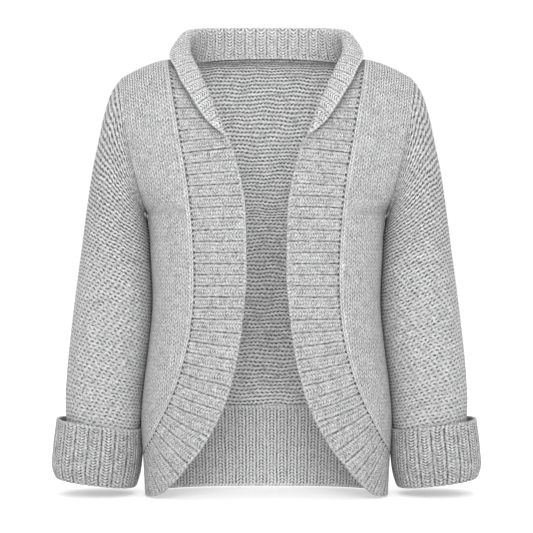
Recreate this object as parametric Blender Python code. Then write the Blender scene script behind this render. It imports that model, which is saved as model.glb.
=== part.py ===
"""Open-front cardigan in a chunky knit, filled out as if worn, with a shawl collar and turned-up cuffs.

Metres, +Z up. The front faces -Y and the wearer's left is at +X. The origin is at the middle of the neck, level
with the shoulder seams' inner ends. Tables are in millimetres and degrees, with a row for each section or rib line
and a name for each column.
"""

import bpy
import numpy as np

MM = 0.001
DEGREE = np.pi / 180
SHARP_ANGLE = 40 * DEGREE  # edges that turn more than this are shaded as edges
FINE_STEPS = 720  # for lines that are measured before they are divided
SEAM_GAP = 0.3 * MM  # between sewn pieces
POINT_GAP = 0.8 * MM  # where the band bends round the front panel's lower point
POINT_LENGTH = 80 * MM
CLOTH = 3.0 * MM  # thickness of the plain knit
RIB_CLOTH = 4.4 * MM  # thickness of a rib knit through its wide columns
RIB_GROOVE = 1.4 * MM  # depth of the grooves between them

# The torso's level sections, from the hem up. Widths above the armpit are those of the armhole's edge.
TORSO_COLUMNS = ("z", "half_width", "front_depth", "back_depth")
TORSO = (
    (-613, 172, 91, 101),
    (-558, 175, 92, 102),
    (-534, 176.5, 93, 102),
    (-505, 177.5, 94, 101),
    (-470, 175, 95, 98),
    (-400, 166.5, 96, 94),
    (-346, 161.5, 97, 92),
    (-280, 164, 101, 97),
    (-215, 169.5, 103, 104),
    (-192, 176, 103, 105),
    (-150, 186, 102, 106),
    (-115, 194, 100, 106),
)
SECTION_POWER = 2.5  # 2 is an ellipse, more is squarer
HEM_Z = -0.613
RIB_TOP_Z = -0.4945  # the back's hem rib reaches up to here
ROLL_Z = -0.115  # above this the panels roll over to the shoulder seams
ROLL_POWER = 2.2

NECK_POINT_X = 0.1385
NECK_POINT_Z = 0.003
SHOULDER_END_X = 0.206
SHOULDER_DROP = 0.027
SHOULDER_DROP_POWER = 1.5
BACK_NECK_Y = 0.072
BACK_NECK_RISE = 0.008
NECK_POWER = 2.3

ARMHOLE_DEPTH = 0.066
ARMHOLE_MIDDLE_Z = -0.118
ARMPIT_Z = -0.215
ARMHOLE_POWER = 2.4

# Where the front band is picked up on the front panel, from its lower end up.
BAND_SEAM_COLUMNS = ("z", "x")
BAND_SEAM = (
    (-557, 174.9),
    (-553, 173.6),
    (-545, 170),
    (-531, 161.5),
    (-505, 148),
    (-480, 135),
    (-450, 123),
    (-400, 109),
    (-360, 102.5),
    (-300, 100),
    (-240, 102.5),
    (-165, 110.5),
    (-115, 119),
)

# Lines of the front band's ribs: height on the seam, and the end on the free edge.
BAND_COLUMNS = ("seam_z", "edge_x", "edge_z")
BAND = (
    (-135, 46, -128),
    (-161, 38.5, -156),
    (-192, 31.5, -189),
    (-224, 28.5, -222),
    (-269, 27.5, -269),
    (-307, 27.5, -307),
    (-330, 29, -330),
    (-364, 32.5, -365),
    (-394, 37.5, -403),
    (-428, 46, -443),
    (-453, 55.5, -476),
    (-477, 66.5, -501.5),
    (-493, 79.5, -526),
    (-505, 92.5, -546),
    (-519, 108, -564.5),
    (-531, 121, -581.5),
    (-542, 137, -597),
    (-551.5, 154, -609.5),
    (-558, 172, -613),
)
BAND_RIBS = 30
BAND_ACROSS = np.array((0, 0.5, 1.0))  # columns from the seam to the free edge
FOLD_END_Z = BAND[0][0] * MM  # the rib line on which the collar's fold starts

# The collar's fold line, where the rib strip turns over, from its front end to the middle of the back. The first
# table's last row belongs to the rib that starts at the shoulder seam. "flip" is how much of the strip lies beyond
# the fold, "bow" how far the standing part bulges outwards, "turn" the fold's angle, and "curl" how much further
# the turned-over part curves down to its free edge.
COLLAR_COLUMNS = ("x", "y", "z", "flip", "bow", "turn", "curl")
COLLAR_FRONT = (
    (46, -101.5, -128, 0, 3, 170, 0),
    (57, -99, -104, 10, 3, 168, 5),
    (68, -92.5, -78, 20, 2, 163, 12),
    (80, -80, -52, 30, 1, 158, 20),
    (91, -62, -27, 38, -1, 158, 28),
    (100, -40, -2, 42, -3, 158, 28),
    (104, -18, 21, 42, -4, 165, 28),
)
COLLAR_BACK = (
    (104, -18, 21, 42, -4, 165, 28),
    (104.5, 4, 41, 42, -5, 176, 30),
    (96, 36, 52, 47, -4, 172, 26),
    (66, 66, 57, 50, -1, 164, 20),
    (35, 75.5, 58.5, 50, 0, 165, 18),
    (0, 78, 59, 50, 0, 165, 18),
)
COLLAR_STEPS = 160  # to walk each row in
STAND_MARKS = (0, 0.45, 0.9)  # shares of the standing part that get a column
FOLD_RADIUS = 4 * MM  # of the collar's hidden face
COLLAR_RIBS = 44
HEM_RIBS = 28
RIB_SHARES = (0, 0.22, 0.78)  # the places in a rib that get a point: its groove and its raised column's edges
RIB_HEIGHTS = (0, 1.0, 1.0)

# Each ring of a sleeve or cuff has an outer and an inner end, a half depth and its middle's y.
RING_COLUMNS = ("out_x", "out_z", "in_x", "in_z", "half_depth", "middle_y")
SLEEVE = (
    (219, -43, 171, -220, 68, 2),
    (229, -72, 172, -227, 70, 5),
    (238, -111, 171.5, -238, 71, 9),
    (246.5, -150, 169.5, -252, 71, 13),
    (254, -196, 167, -272, 70, 17),
    (263, -261, 163.5, -318, 69, 21),
    (272, -327, 165, -378, 67, 22),
    (280, -395, 172.5, -438, 65, 20),
    (285, -446, 180, -480, 63, 18),
    (286.5, -479, 184.5, -505, 61.5, 17),
    (285, -512, 187.5, -531, 60, 16),
)
SLEEVE_POWER = 2.4

# The turned-up cuff runs from the sleeve's end down to its fold and back up to its free edge.
CUFF = (
    (285, -512.4, 187.5, -531.4, 60, 16),
    (292, -573, 188, -588, 60.5, 16),
    (298, -588, 184.5, -602, 63, 16),
    (302.5, -578, 180.5, -591, 65.5, 16),
    (302, -548, 179.5, -563, 66, 16),
    (297, -506, 182, -526, 64, 16),
)
CUFF_RIBS = 26
CUFF_WIDEST = 4  # the ring on which the ribs are evenly wide

# Rows and columns of the panels' grids, in the order in which they are joined.
ROLL_STEPS = 6
ARMHOLE_LEVELS = np.array((-115, -135, -155, -175, -193, -206, -215)) * MM
SIDE_LEVELS = np.array((-245, -290, -346, -400, -445)) * MM
FRONT_LEVELS = np.array((-475, -495, -515, -531, -545, -553, -557)) * MM
BACK_NECK_SHARE = 0.68
BACK_SHARES = np.array((0, 0.17, 0.34, 0.5, 0.6, BACK_NECK_SHARE, 0.79, 0.9, 1.0))
FRONT_SHARES = np.linspace(-1 / 6, 1, 8)  # the first column only gives the slope across the band's seam
ARMHOLE_ROWS = ROLL_STEPS + len(ARMHOLE_LEVELS) - 1

HEATHER_GREY = (0.50, 0.51, 0.52, 1.0)
ROUGH_WOOL = 0.95


def table_columns(names, table):
    """The table's columns by name, as arrays in metres and radians."""
    units = [DEGREE if name in ("turn", "curl") else MM for name in names]
    return dict(zip(names, np.array(table, float).T * np.array(units)[:, None]))


def smooth(at, knots, values):
    """Values between the knots, along a curve whose slope at each knot is that of its neighbours."""
    slopes = np.gradient(values, knots, axis=0)
    place = np.clip(np.searchsorted(knots, at, side="right") - 1, 0, len(knots) - 2)
    step = knots[place + 1] - knots[place]
    share = (at - knots[place]) / step
    if values.ndim == 2:
        step = step[..., None]
        share = share[..., None]
    start = values[place] * (1 - share) ** 2 * (1 + 2 * share)
    start = start + slopes[place] * step * share * (1 - share) ** 2
    end = values[place + 1] * share**2 * (3 - 2 * share)
    return start + end - slopes[place + 1] * step * share**2 * (1 - share)


def rounded(share, power):
    """The other coordinate of a superellipse of radius 1: 1 at 0, and 0 at 1."""
    return np.maximum(1 - np.abs(share) ** power, 0) ** (1 / power)


def lengths_along(points):
    """The distance of each point from the first, along the line through them."""
    return np.concatenate([[0], np.cumsum(np.linalg.norm(np.diff(points, axis=0), axis=1))])


def along(points, distance):
    """Points at these distances along a line of straight pieces."""
    lengths = lengths_along(points)
    return np.stack([np.interp(distance, lengths, points[:, axis]) for axis in range(3)], axis=-1)


def unit(vectors):
    return vectors / np.linalg.norm(vectors, axis=-1, keepdims=True)


def surface_normals(grid, around=False):
    """Unit normals of a grid of points, from the steps to each point's neighbours."""
    if around:
        padded = np.concatenate([grid[:, -1:], grid, grid[:, :1]], axis=1)
        across = (padded[:, 2:] - padded[:, :-2]) / 2
    else:
        across = np.gradient(grid, axis=1)
    return unit(np.cross(np.gradient(grid, axis=0), across))


def mirrored(grid):
    return grid * np.array((-1.0, 1.0, 1.0))


def wall(name, outside, inside, colour, around=False):
    """A closed wall between two grids of points, with its edges joined. With around, the columns form rings."""
    rows, columns = outside.shape[:2]
    points = np.concatenate([outside.reshape(-1, 3), inside.reshape(-1, 3)])
    index = np.arange(rows * columns).reshape(rows, columns)
    if around:
        index = np.concatenate([index, index[:, :1]], axis=1)

    def strip(first, second):
        return np.stack([first[:-1], first[1:], second[1:], second[:-1]], axis=-1)

    back = rows * columns
    faces = [strip(index[row], index[row + 1]) for row in range(rows - 1)]
    faces += [strip(index[row + 1] + back, index[row] + back) for row in range(rows - 1)]
    faces.append(strip(index[0] + back, index[0]))
    faces.append(strip(index[-1], index[-1] + back))
    if not around:
        faces.append(strip(index[:, 0], index[:, 0] + back))
        faces.append(strip(index[:, -1] + back, index[:, -1]))
    faces = np.concatenate(faces)
    corners = points[faces]
    volume = np.einsum("ij,ij->", corners[:, 0], np.cross(corners[:, 1], corners[:, 2]))
    volume += np.einsum("ij,ij->", corners[:, 0], np.cross(corners[:, 2], corners[:, 3]))
    if volume < 0:
        faces = faces[:, ::-1]
    mesh = bpy.data.meshes.new(name)
    mesh.from_pydata(points.tolist(), [], faces.tolist())
    mesh.update()
    mesh.shade_smooth()
    mesh.set_sharp_from_angle(angle=SHARP_ANGLE)
    built = bpy.data.objects.new(name, mesh)
    mesh.materials.append(wool(name, colour))
    bpy.data.collections["open_front_cardigan"].objects.link(built)
    return built


def wool(name, colour):
    """A dull, rough wool in the given colour."""
    material = bpy.data.materials.new(name + "_wool")
    material.use_nodes = True
    shader = material.node_tree.nodes["Principled BSDF"]
    shader.inputs["Base Color"].default_value = colour
    shader.inputs["Roughness"].default_value = ROUGH_WOOL
    shader.inputs["Metallic"].default_value = 0.0
    material.diffuse_color = colour
    return material


# Torso


def armhole_depth(z):
    """How far the armhole's edge lies in front of the shoulder line at a height below ROLL_Z."""
    share = np.clip((ARMHOLE_MIDDLE_Z - z) / (ARMHOLE_MIDDLE_Z - ARMPIT_Z), 0, 1)
    return ARMHOLE_DEPTH * rounded(share, ARMHOLE_POWER)


def torso_section(z, side):
    """(half width, depth, largest angle) of the level section at a height. side is -1 in front and 1 behind."""
    torso = table_columns(TORSO_COLUMNS, TORSO)
    z = np.asarray(z, float)
    half_width = smooth(z, torso["z"], torso["half_width"])
    depth = smooth(z, torso["z"], torso["front_depth" if side < 0 else "back_depth"])
    cut = np.where(z > ARMPIT_Z, armhole_depth(z) / depth, 0.0)
    largest = np.arccos(cut ** (SECTION_POWER / 2))
    return half_width / rounded(cut, SECTION_POWER), depth, largest


def torso_point(angle, z, side):
    """The torso's surface at a height. The angle is 0 at the middle and a right angle at the side seam."""
    half_width, depth, _ = torso_section(z, side)
    x = half_width * np.sin(angle) ** (2 / SECTION_POWER)
    y = side * np.maximum(depth * np.cos(angle).clip(0, 1) ** (2 / SECTION_POWER), SEAM_GAP / 2)
    return np.stack(np.broadcast_arrays(x, y, z), axis=-1)


def torso_angle(x, z, side):
    """The angle at which the torso's surface has this x."""
    half_width, _, _ = torso_section(z, side)
    return np.arcsin(np.clip(x / half_width, 0, 1) ** (SECTION_POWER / 2))


def shoulder_z(x):
    share = np.clip((x - NECK_POINT_X) / (SHOULDER_END_X - NECK_POINT_X), 0, 1)
    return NECK_POINT_Z - SHOULDER_DROP * share**SHOULDER_DROP_POWER


def panel_top(x, side):
    """The panel's top edge: the shoulder seam, and on the back the neck seam between the shoulders."""
    inside_neck = np.clip(x / NECK_POINT_X, 0, 1)
    y = side * SEAM_GAP / 2 + (side > 0) * BACK_NECK_Y * rounded(inside_neck, NECK_POWER)
    z = shoulder_z(x) + (side > 0) * BACK_NECK_RISE * (1 - inside_neck**2)
    return np.stack([x, y, z], axis=-1)


def panel(side, roll_steps, levels, shares, inner_x=None):
    """The right half's grid of a panel: rows down from the top edge, columns out to the armhole or side seam."""
    rows = []
    largest = torso_section(ROLL_Z, side)[2]
    start = torso_angle(inner_x(ROLL_Z), ROLL_Z, side) if inner_x else 0.0
    low = torso_point(start + (largest - start) * shares, ROLL_Z, side)
    # On the back, the column at BACK_NECK_SHARE ends at the neck point. On a front, the first one does.
    neck = start + (largest - start) * (0.0 if inner_x else BACK_NECK_SHARE)
    neck_x = torso_point(neck, ROLL_Z, side)[0]
    beyond = low[:, 0] > neck_x
    slope = (SHOULDER_END_X - NECK_POINT_X) / (low[-1, 0] - neck_x)
    top_x = NECK_POINT_X + (low[:, 0] - neck_x) * slope
    if not inner_x:
        top_x = np.where(beyond, top_x, low[:, 0] * NECK_POINT_X / neck_x)
    top = panel_top(top_x, side)
    for turn in np.linspace(0, np.pi / 2, roll_steps)[:-1]:
        down = 1 - np.cos(turn) ** (2 / ROLL_POWER)
        out = np.sin(turn) ** (2 / ROLL_POWER)
        row = top + (low - top) * np.stack([down, out, down])
        rows.append(row)
    for z in levels:
        largest = torso_section(z, side)[2]
        start = torso_angle(inner_x(z), z, side) if inner_x else 0.0
        rows.append(torso_point(start + (largest - start) * shares, z, side))
    return np.array(rows)


def band_seam_x(z):
    seam = table_columns(BAND_SEAM_COLUMNS, BAND_SEAM)
    return smooth(np.asarray(z, float), seam["z"], seam["x"])


def front_grid():
    levels = np.concatenate([ARMHOLE_LEVELS, SIDE_LEVELS, FRONT_LEVELS])
    return panel(-1, ROLL_STEPS, levels, FRONT_SHARES, band_seam_x)


def back_half_grid():
    levels = np.concatenate([ARMHOLE_LEVELS, SIDE_LEVELS, [RIB_TOP_Z]])
    return panel(1, ROLL_STEPS, levels, BACK_SHARES)


def loop_inward(ring, plane):
    """Unit vectors in a ring's plane that point into it. The plane is given by its normal."""
    step = np.roll(ring, -1, axis=0) - np.roll(ring, 1, axis=0)
    inward = unit(np.cross(plane, step))
    middle = ring.mean(axis=0)
    return inward * np.sign(np.einsum("ij,ij->", inward, middle - ring))


def armhole_ring(front, back):
    """The armhole's edge on the right, from the shoulder down the front and up the back."""
    return np.concatenate([front[:ARMHOLE_ROWS, -1], back[1 : ARMHOLE_ROWS - 1, -1][::-1]])


def panel_inside(grid, normals, side, armhole_inward):
    """The panel's inner points. Its seams at the shoulder, side and armhole stay square to their neighbours."""
    if normals[len(grid) // 2, 1, 1] * side < 0:
        normals = -normals
    on_shoulder = grid[0, :, 0] > NECK_POINT_X - SEAM_GAP
    normals[0, on_shoulder, 1] = 0
    normals[ARMHOLE_ROWS:, -1, 1] = 0
    normals = unit(normals)
    normals[:ARMHOLE_ROWS, -1] = -armhole_inward
    return grid - CLOTH * normals


def build_panels():
    """The back and both fronts. Returns the strip's seam, the edge that the hem hangs from and the armhole."""
    front = front_grid()
    front_normals = surface_normals(front)[:, 1:]
    front = front[:, 1:]
    back = back_half_grid()
    ring = armhole_ring(front, back)
    inward = loop_inward(ring, np.array((1.0, 0, 0)))
    front_inward = inward[:ARMHOLE_ROWS]
    back_inward = np.concatenate([inward[:1], inward[ARMHOLE_ROWS - 1 :][::-1]])
    front_inside = panel_inside(front, front_normals, -1, front_inward)
    back_inside = panel_inside(back, surface_normals(back), 1, back_inward)
    back_inside[-1, :, 2] = RIB_TOP_Z
    back_inside[:, 0, 0] = 0
    front_inside[-1, :, 2] = front[-1, :, 2]
    wall("front_left", front, front_inside, HEATHER_GREY)
    wall("front_right", mirrored(front), mirrored(front_inside), HEATHER_GREY)
    whole = np.concatenate([mirrored(back[:, :0:-1]), back], axis=1)
    whole_inside = np.concatenate([mirrored(back_inside[:, :0:-1]), back_inside], axis=1)
    wall("back", whole, whole_inside, HEATHER_GREY)
    seam = seam_line(front, front_inside, back, back_inside)
    return seam, whole[-1], ring


# Sleeves and cuffs


def ring_between(out_point, in_point, half_depth, middle_y, turns, power):
    """A closed ring from its outer end, by the front, to its inner end and back."""
    along_ring = (1 - np.cos(turns)) / 2
    ends = out_point + (in_point - out_point) * along_ring[:, None]
    # The y follows a superellipse on the same turns.
    width = np.sign(np.sin(turns)) * rounded(np.abs(np.cos(turns)), power)
    ends[:, 1] = middle_y - half_depth * width
    return ends


def ring_grid(table, turns, power):
    ring = table_columns(RING_COLUMNS, table)
    zero = np.zeros(len(table))
    out_points = np.stack([ring["out_x"], zero, ring["out_z"]], axis=1)
    in_points = np.stack([ring["in_x"], zero, ring["in_z"]], axis=1)
    sizes = zip(out_points, in_points, ring["half_depth"], ring["middle_y"])
    return np.array([ring_between(*size, turns, power) for size in sizes])


def ring_plane(grid_row):
    """The unit normal of a ring's plane, which holds the Y axis."""
    ends = grid_row[np.argmin(grid_row[:, 2])] - grid_row[np.argmax(grid_row[:, 2])]
    return unit(np.cross(ends * (1, 0, 1), (0, 1.0, 0)))


def build_sleeves(armhole):
    turns = np.arange(len(armhole)) * 2 * np.pi / len(armhole)
    rings = ring_grid(SLEEVE, turns, SLEEVE_POWER)
    first = armhole + np.array((SEAM_GAP, 0, 0))
    grid = np.concatenate([first[None], rings])
    normals = surface_normals(grid, around=True)
    if normals[len(grid) // 2, 0, 0] < 0:
        normals = -normals
    normals[0] = -loop_inward(first, np.array((1.0, 0, 0)))
    normals[-1] = -loop_inward(grid[-1], ring_plane(grid[-1]))
    inside = grid - CLOTH * normals
    wall("sleeve_left", grid, inside, HEATHER_GREY, around=True)
    wall("sleeve_right", mirrored(grid), mirrored(inside), HEATHER_GREY, around=True)


def rib_stations(ribs):
    """Places along a rib strip, in ribs, with the height of its raised face there, from 0 to 1."""
    places = (np.arange(ribs)[:, None] + RIB_SHARES).ravel()
    return np.append(places, ribs), np.append(np.tile(RIB_HEIGHTS, ribs), RIB_HEIGHTS[0])


def even_turns(places, table_row):
    """The turns at which a ring is passed at even lengths. Places run from 0 to 1."""
    turns = np.linspace(0, 2 * np.pi, FINE_STEPS + 1)
    lengths = lengths_along(ring_grid((table_row,), turns, SLEEVE_POWER)[0])
    return np.interp(places * lengths[-1], lengths, turns)


def build_cuffs():
    places, heights = rib_stations(CUFF_RIBS)
    places = places[:-1] / CUFF_RIBS
    heights = heights[:-1]
    middle = ring_grid(CUFF, even_turns(places, CUFF[CUFF_WIDEST]), SLEEVE_POWER)
    normals = surface_normals(middle, around=True)
    # On the last ring, the cuff's free edge, the worn side faces out.
    if np.einsum("ij,ij->", normals[-1], middle[-1] - middle[-1].mean(axis=0)) < 0:
        normals = -normals
    for row, sign in ((0, -1), (-1, 1)):
        plane = ring_plane(middle[row])
        normals[row] = -sign * loop_inward(middle[row], plane)
    shown = middle + normals * (RIB_CLOTH / 2 - RIB_GROOVE * (1 - heights[None, :, None]))
    hidden = middle - normals * RIB_CLOTH / 2
    wall("cuff_left", shown, hidden, HEATHER_GREY, around=True)
    wall("cuff_right", mirrored(shown), mirrored(hidden), HEATHER_GREY, around=True)


# Hem, bands and collar


def build_hem(top):
    """The back's hem rib, hung from the panel's lower edge, with its ribs on both faces."""
    places, heights = rib_stations(HEM_RIBS)
    places = places / HEM_RIBS
    angles = np.linspace(-np.pi / 2, np.pi / 2, FINE_STEPS + 1)
    rows = []
    for z in (RIB_TOP_Z, (RIB_TOP_Z + HEM_Z) / 2, HEM_Z):
        line = torso_point(np.abs(angles), z, 1)
        line[:, 0] *= np.sign(angles)
        if z == RIB_TOP_Z:
            line = top
        rows.append(along(line, places * lengths_along(line)[-1]))
    grid = np.array(rows)
    grid[0, :, 2] = RIB_TOP_Z - SEAM_GAP
    normals = surface_normals(grid)
    normals[0, :, 2] = 0
    normals[:, (0, -1), 1] = 0
    normals = unit(normals)
    if normals[1, grid.shape[1] // 2, 1] < 0:
        normals = -normals
    groove = (1 - heights)[None, :, None] * RIB_GROOVE
    inside = grid - normals * (RIB_CLOTH - groove)
    wall("back_hem", grid - normals * groove, inside, HEATHER_GREY)


def seam_line(front, front_inside, back, back_inside):
    """The strip's seam on the right, from the side seam up the front and round to the middle of the neck.

    Each row holds a point and the direction that leads from there into the panel, square to the seam.
    """
    neck = back[0, :, 0] < NECK_POINT_X + SEAM_GAP
    points = np.concatenate([front[::-1, 0], back[0, neck][::-1]])
    inside = np.concatenate([front_inside[::-1, 0], back_inside[0, neck][::-1]])
    next_points = np.concatenate([front[::-1, 1], back[1, neck][::-1]])
    into = unit(np.cross(np.gradient(points, axis=0), points - inside))
    into *= np.sign(np.einsum("ij,ij->i", into, next_points - points))[:, None]
    end_z = BAND[-1][0] * MM
    end = np.array((torso_section(end_z, -1)[0], -SEAM_GAP / 2, end_z))
    return np.concatenate([[np.concatenate([end, into[0]])], np.concatenate([points, into], axis=1)])


def along_seam(seam, distance):
    lengths = lengths_along(seam[:, :3])
    rows = np.stack([np.interp(distance, lengths, column) for column in seam.T], axis=-1)
    return rows[..., :3], rows[..., 3:]


def seam_distance(seam, z):
    """How far along the seam this height lies, on the front below the shoulder's roll."""
    below_roll = seam[:, 2] < ROLL_Z + SEAM_GAP
    return np.interp(z, seam[below_roll, 2], lengths_along(seam[:, :3])[below_roll])


def off_seam(grid, normals, into, gaps):
    """Moves a strip's first column clear of its seam, and turns its inner edge out of the panel."""
    grid[:, 0] += unit(grid[:, 1] - grid[:, 0]) * np.reshape(gaps, (-1, 1))
    toward = np.einsum("ij,ij->i", -normals[:, 0], into).clip(0)
    normals[:, 0] = unit(normals[:, 0] + toward[:, None] * into)


def band_rows(seam, distance, across):
    """The right front band's points: a row for each distance along the seam, a column for each share across."""
    band = table_columns(BAND_COLUMNS, BAND)
    knots = seam_distance(seam, band["seam_z"][::-1])
    edge = np.stack([torso_angle(band["edge_x"], band["edge_z"], -1), band["edge_z"]], axis=1)[::-1]
    end = smooth(distance, knots, edge)
    points, into = along_seam(seam, distance)
    start = np.stack([torso_angle(points[:, 0], points[:, 2], -1), points[:, 2]], axis=1)
    rows = start[:, None] + (end - start)[:, None] * across[None, :, None]
    grid = torso_point(rows[..., 0], rows[..., 1], -1)
    grid[:, 0] = points
    return grid, into


def build_bands(seam):
    places, heights = rib_stations(BAND_RIBS)
    distance = seam_distance(seam, FOLD_END_Z) * places / BAND_RIBS
    distance[-1] -= SEAM_GAP
    grid, into = band_rows(seam, distance, BAND_ACROSS)
    normals = surface_normals(grid)
    normals *= -np.sign(normals[len(grid) // 2, 1, 1])
    normals[0, :, 1] = 0
    normals[-1] = within_row(grid[-1], normals[-1])
    normals = unit(normals)
    off_seam(grid, normals, into, np.where(distance < POINT_LENGTH, POINT_GAP, SEAM_GAP))
    outside = grid - normals * RIB_GROOVE * (1 - heights)[:, None, None]
    inside = grid - normals * RIB_CLOTH
    wall("band_left", outside, inside, HEATHER_GREY)
    wall("band_right", mirrored(outside), mirrored(inside), HEATHER_GREY)


def within_row(row, normals):
    """The normals kept in the upright plane through a row's ends, so that two rows meet face to face."""
    ends = row[-1] - row[0]
    square = unit(np.cross(ends, (0, 1.0, 0)))
    return normals - np.einsum("ij,j->i", normals, square)[:, None] * square


def collar_rows(seam, places):
    """Half of the collar's points on its outer face, from its front end to the middle of the back.

    A row is walked in small steps. Before the fold it heads from the seam to the fold line, and there its
    heading turns about the fold line, so a rib keeps its angle to that line on both sides of the fold.
    """
    lengths = lengths_along(seam[:, :3])
    first = seam_distance(seam, FOLD_END_Z)
    shoulder = lengths[np.argmax(seam[:, 1] > 0)]
    distance = first + (lengths[-1] - first) * places
    points, into = along_seam(seam, distance)
    lines = []
    for table, low, high in ((COLLAR_FRONT, first, shoulder), (COLLAR_BACK, shoulder, lengths[-1])):
        chosen = (distance >= low) & ((distance < high) | (high == lengths[-1]))
        rows = np.stack(list(table_columns(COLLAR_COLUMNS, table).values()), axis=1)
        knots = lengths_along(rows[:, :3])
        lines.append(smooth((distance[chosen] - low) / (high - low) * knots[-1], knots, rows))
    x, y, z, flip, bow, turn, curl = np.concatenate(lines).T[..., None]
    fold = np.concatenate([x, y, z], axis=1)
    flip = flip.clip(0)
    tangent = np.gradient(fold, axis=0)
    tangent[-1] = (-1.0, 0, 0)
    tangent = unit(tangent)
    reach = np.linalg.norm(fold - points, axis=1, keepdims=True)
    heading = unit(fold - points)
    slide = np.einsum("ij,ij->i", heading, tangent)[:, None]
    square = heading - slide * tangent
    pace = np.linalg.norm(square, axis=1, keepdims=True)
    square = square / pace
    outward = np.cross(tangent, square)

    turning = np.pi * FOLD_RADIUS / pace
    turned = np.clip(2 * flip / turning, 0, 1)
    stand = reach - turned * (FOLD_RADIUS + RIB_CLOTH) / pace
    width = stand + flip
    walked = width * np.linspace(0, 1, COLLAR_STEPS)
    lean = 4 * bow / stand
    angle = lean * (1 - 2 * np.clip(walked / stand, 0, 1))
    angle = angle + np.clip((walked - stand) / turning, 0, 1) * (turn + lean)
    fall = np.maximum(flip - turning, 0)
    angle = angle + np.clip((walked - stand - turning) / np.maximum(fall, MM), 0, 1) * curl
    stride = width[..., None] / (COLLAR_STEPS - 1)
    step = slide[:, None] * tangent[:, None]
    step = step + pace[:, None] * np.cos(angle)[..., None] * square[:, None]
    step = step + pace[:, None] * np.sin(angle)[..., None] * outward[:, None]
    path = points[:, None] + np.cumsum(step * stride, axis=1) - step[:, :1] * stride

    # Columns are even where little turns over, and else crowd round the fold.
    bend = flip - fall
    over = (stand + bend / 2, stand + bend, stand + bend + fall / 2, width)
    crowded = np.concatenate([stand * STAND_MARKS, *over], axis=1)
    even = width * np.linspace(0, 1, crowded.shape[1])
    share = np.clip(flip / turning, 0, 1)
    chosen = (even + (crowded - even) * share) / width * (COLLAR_STEPS - 1)
    low = np.minimum(chosen.astype(int), COLLAR_STEPS - 2)
    part = (chosen - low)[..., None]
    row = np.arange(len(path))[:, None]
    grid = path[row, low] * (1 - part) + path[row, low + 1] * part
    grid[0] = band_rows(seam, distance[:1], np.linspace(0, 1, grid.shape[1]))[0][0]
    return grid, into


def build_collar(seam):
    places, heights = rib_stations(COLLAR_RIBS // 2)
    half, into = collar_rows(seam, places / (COLLAR_RIBS // 2))
    grid = np.concatenate([half, mirrored(half[-2::-1])])
    into = np.concatenate([into, mirrored(into[-2::-1])])
    heights = np.concatenate([heights, heights[-2::-1]])
    normals = surface_normals(grid)
    normals *= np.sign(normals[len(grid) // 2, 0, 1])
    for end in (0, -1):
        normals[end] = within_row(grid[end], normals[end])
    normals = unit(normals)
    off_seam(grid, normals, into, np.full(len(grid), SEAM_GAP))
    groove = (1 - heights)[:, None, None] * RIB_GROOVE
    outside = grid - normals * groove
    inside = grid - normals * (RIB_CLOTH - groove)
    wall("collar", outside, inside, HEATHER_GREY)


def main():
    for old in list(bpy.data.objects):
        bpy.data.objects.remove(old)
    collection = bpy.data.collections.new("open_front_cardigan")
    bpy.context.scene.collection.children.link(collection)
    seam, hem_edge, armhole = build_panels()
    build_sleeves(armhole)
    build_cuffs()
    build_hem(hem_edge)
    build_bands(seam)
    build_collar(seam)


main()
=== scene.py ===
# %% [markdown]
# An open-front cardigan, knitted in a thick heather grey wool, stands filled out as if it were
# worn. A knitter makes it in flat and tubular pieces: a back, two narrow fronts, two wide sleeves,
# a deep rib hem, turned-up rib cuffs and one long rib strip that is picked up along the fronts and
# the neck.
#
# Each piece is worked out with numpy as a surface: a function of two parameters on a grid. The two
# parameters also count stitches and rows, so the same numbers place the ribs in the mesh and the
# stitches in the material.

import bpy
import numpy as np
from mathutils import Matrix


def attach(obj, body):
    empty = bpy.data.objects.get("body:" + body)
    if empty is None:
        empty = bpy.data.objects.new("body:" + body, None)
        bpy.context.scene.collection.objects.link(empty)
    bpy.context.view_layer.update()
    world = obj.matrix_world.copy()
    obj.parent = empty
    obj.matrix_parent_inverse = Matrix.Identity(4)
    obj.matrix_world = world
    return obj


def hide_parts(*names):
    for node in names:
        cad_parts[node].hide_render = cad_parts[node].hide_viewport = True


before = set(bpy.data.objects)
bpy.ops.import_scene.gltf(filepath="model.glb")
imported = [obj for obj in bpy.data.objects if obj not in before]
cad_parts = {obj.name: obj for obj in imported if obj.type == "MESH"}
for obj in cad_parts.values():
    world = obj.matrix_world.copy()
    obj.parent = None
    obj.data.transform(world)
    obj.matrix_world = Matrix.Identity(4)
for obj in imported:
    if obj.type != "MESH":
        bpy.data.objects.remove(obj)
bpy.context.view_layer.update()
print("nodes:", sorted(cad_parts))

# %% [markdown]
# The camera stands level with the garment's middle, straight in front of its open front. A long
# lens from 2.7 m away keeps the sleeves from leaning outwards.

# %% Camera
MM = 0.001
DEGREE = np.pi / 180
VIEW_DISTANCE = 2.7
VIEW_HEIGHT = -0.2904
PICTURE_WIDTH = 0.7569  # how much of the plane through the shoulders fits in the frame
SENSOR_WIDTH = 36

lens = bpy.data.cameras.new("camera")
lens.sensor_width = SENSOR_WIDTH
lens.lens = SENSOR_WIDTH * VIEW_DISTANCE / PICTURE_WIDTH
camera = bpy.data.objects.new("camera", lens)
camera.location = (0, -VIEW_DISTANCE, VIEW_HEIGHT)
camera.rotation_euler = (np.pi / 2, 0, 0)
bpy.context.scene.collection.objects.link(camera)
bpy.context.scene.camera = camera
print("lens", round(lens.lens, 1), "mm")

# %% [markdown]
# The knit has a gauge. In plain knit this thick yarn gives 12 to 17 stitches and about 18 rows to
# 100 mm, and the ribs are tighter. The garment's sizes are short tables, in millimetres and
# degrees, with a row for each section and a name for each column.

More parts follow.
